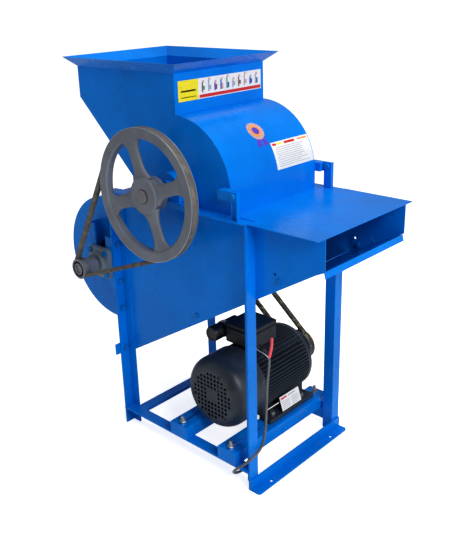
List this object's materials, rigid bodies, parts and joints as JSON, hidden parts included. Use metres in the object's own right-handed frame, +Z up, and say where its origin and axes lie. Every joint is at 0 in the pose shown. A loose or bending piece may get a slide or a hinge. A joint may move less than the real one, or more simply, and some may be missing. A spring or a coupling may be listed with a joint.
{
  "type": "hammer mill",
  "caption": "Belt-driven mill on an angle-iron stand: hopper over a covered rotor, blower casing behind, sloping grain duct, open delivery mouth and an electric motor below.",
  "frame": {"origin": "middle of the machine's bounding box, at the floor", "axes": "+X towards the delivery mouth, +Y along the shafts away from the big pulley, +Z up"},
  "size_m": [1.0025, 0.6, 1.159],
  "materials": {
    "blue_paint": "gloss enamel",
    "pulley_iron": "painted grey, dusty",
    "bearing_iron": "grey-blue paint",
    "belt": "worn fabric-faced rubber",
    "motor_black": "black enamel",
    "cowl_black": "satin black",
    "box_black": "moulded black",
    "capacitor": "black can",
    "steel": "turned steel",
    "bolt_paint": "overpainted bolt heads",
    "zinc": "zinc plated",
    "hammer_steel": "dark rolled steel",
    "cord": "dark grey sheath",
    "plug": "moulded plug",
    "fan_plastic": "moulded"
  },
  "bodies": {
    "root": {"leg_front_near": "blue_paint", "leg_front_far": "blue_paint", "leg_rear_near": "blue_paint", "leg_rear_far": "blue_paint", "foot_rail": "blue_paint", "lower_rail_near": "blue_paint", "lower_rail_far": "blue_paint", "lower_cross_rail": "blue_paint", "rear_tie_bar": "blue_paint", "motor_rail_front": "blue_paint", "motor_rail_rear": "blue_paint", "top_rail_near": "blue_paint", "top_rail_far": "blue_paint", "side_panel_near": "blue_paint", "side_panel_far": "blue_paint", "deck_plate": "blue_paint", "duct_floor": "blue_paint", "hood_side_near": "blue_paint", "hood_side_far": "blue_paint", "drum_cover": "blue_paint", "hopper_front_wall": "blue_paint", "hopper_rear_wall": "blue_paint", "hopper_rim": "blue_paint", "hood_posts": "blue_paint", "hood_lugs": "blue_paint", "sieve": "hammer_steel", "fan_scroll": "blue_paint", "fan_side_near": "blue_paint", "fan_side_far": "blue_paint", "fan_bearing_bars": "blue_paint", "rotor_bearings": "blue_paint", "fan_bearings": "bearing_iron", "rotor_belt": "belt", "motor_belt": "belt", "motor_body": "motor_black", "motor_end_shield": "motor_black", "motor_cowl": "cowl_black", "terminal_box": "box_black", "capacitor": "capacitor", "motor_cable": "cord", "cable_coil": "cord", "cable_plug": "plug", "frame_bolts": "bolt_paint", "motor_bolts": "zinc"},
    "rotor": {"main_shaft": "steel", "rotor_pulley": "pulley_iron", "rotor_discs": "hammer_steel", "hammer_pins": "steel"},
    "hammers_1": {"hammer_row_1": "hammer_steel"},
    "hammers_2": {"hammer_row_2": "hammer_steel"},
    "hammers_3": {"hammer_row_3": "hammer_steel"},
    "hammers_4": {"hammer_row_4": "hammer_steel"},
    "fan": {"fan_shaft": "steel", "fan_pulley_near": "pulley_iron", "fan_pulley_far": "pulley_iron", "fan_impeller": "blue_paint"},
    "motor_spindle": {"motor_rotor": "steel", "motor_pulley": "pulley_iron", "cooling_fan": "fan_plastic"},
    "flap": {"delivery_flap": "blue_paint"}
  },
  "joints": [
    {"name": "rotor_spin", "type": "hinge", "parent": "root", "child": "rotor", "pos_m": [0.01475, 0.01, 0.8356], "axis": [0, 1, 0], "continuous": true},
    {"name": "hammer_swing_1", "type": "hinge", "parent": "rotor", "child": "hammers_1", "pos_m": [0.08193, 0.01, 0.90278], "axis": [0, 1, 0], "continuous": true},
    {"name": "hammer_swing_2", "type": "hinge", "parent": "rotor", "child": "hammers_2", "pos_m": [-0.05243, 0.01, 0.90278], "axis": [0, 1, 0], "continuous": true},
    {"name": "hammer_swing_3", "type": "hinge", "parent": "rotor", "child": "hammers_3", "pos_m": [-0.05243, 0.01, 0.76842], "axis": [0, 1, 0], "continuous": true},
    {"name": "hammer_swing_4", "type": "hinge", "parent": "rotor", "child": "hammers_4", "pos_m": [0.08193, 0.01, 0.76842], "axis": [0, 1, 0], "continuous": true},
    {"name": "fan_spin", "type": "hinge", "parent": "root", "child": "fan", "pos_m": [-0.30725, 0.01, 0.5555], "axis": [0, 1, 0], "continuous": true},
    {"name": "motor_spin", "type": "hinge", "parent": "root", "child": "motor_spindle", "pos_m": [0.09875, 0.01, 0.214], "axis": [0, 1, 0], "continuous": true},
    {"name": "flap_tilt", "type": "hinge", "parent": "root", "child": "flap", "pos_m": [0.36075, 0.01, 0.647], "axis": [0, 1, 0], "range_deg": [-8, 6]}
  ],
  "couplings": [
    {"joint": "fan_spin", "follows": "rotor_spin", "ratio": 6.6346},
    {"joint": "motor_spin", "follows": "rotor_spin", "ratio": 6.6346}
  ]
}
